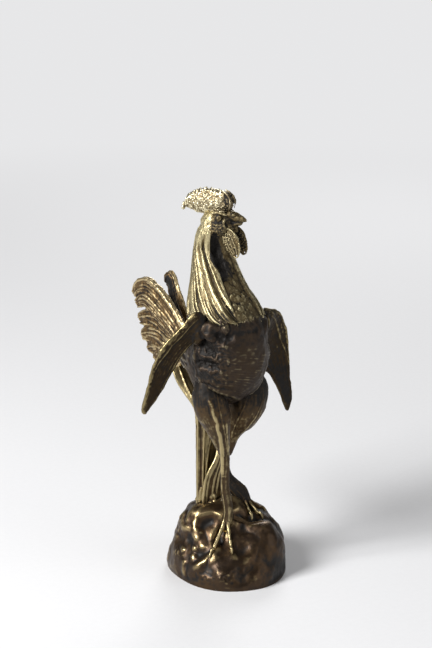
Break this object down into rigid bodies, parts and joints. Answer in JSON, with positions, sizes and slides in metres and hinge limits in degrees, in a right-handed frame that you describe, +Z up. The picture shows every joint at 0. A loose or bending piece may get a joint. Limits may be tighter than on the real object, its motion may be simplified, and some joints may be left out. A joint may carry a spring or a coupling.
{
  "type": "rooster sculpture",
  "caption": "Cast bronze rooster striding on a hollow rock base, with drooping wings, a fan tail and long plumes that reach the rock.",
  "frame": {"origin": "centre of the rock base on the plane of its underside", "axes": "+Z up, -Y the way the chest faces, +X towards the bird's left"},
  "size_m": [0.0944, 0.1059, 0.1993],
  "materials": {
    "base_bronze": "cast bronze, dark brown patina, waxed to a soft gloss",
    "body_bronze": "cast bronze, dark brown patina rubbed a little on the ridges",
    "rubbed_bronze": "cast bronze, patina rubbed back to bright gold-brown on the strands",
    "wing_bronze": "cast bronze, dark patina with bright worn edges",
    "tail_bronze": "cast bronze, warm golden-brown patina",
    "pin_steel": "plain drawn steel rod, dulled",
    "fixing_brass": "plain turned brass, dulled"
  },
  "bodies": {
    "root": {"rock_base": "base_bronze", "torso": "body_bronze", "core_plug": "body_bronze", "right_leg": "body_bronze", "left_leg": "body_bronze", "right_plumes": "body_bronze", "left_plume": "body_bronze", "neck_and_head": "rubbed_bronze", "comb": "rubbed_bronze", "right_wattle": "rubbed_bronze", "left_wattle": "rubbed_bronze", "right_wing": "wing_bronze", "left_wing": "wing_bronze", "right_tail_fan": "tail_bronze", "left_tail_fan": "tail_bronze", "studs": "pin_steel", "neck_pins": "pin_steel", "wing_pins": "pin_steel", "tail_pins": "pin_steel", "hip_pins": "pin_steel", "washers": "fixing_brass", "nuts": "fixing_brass"}
  },
  "joints": []
}
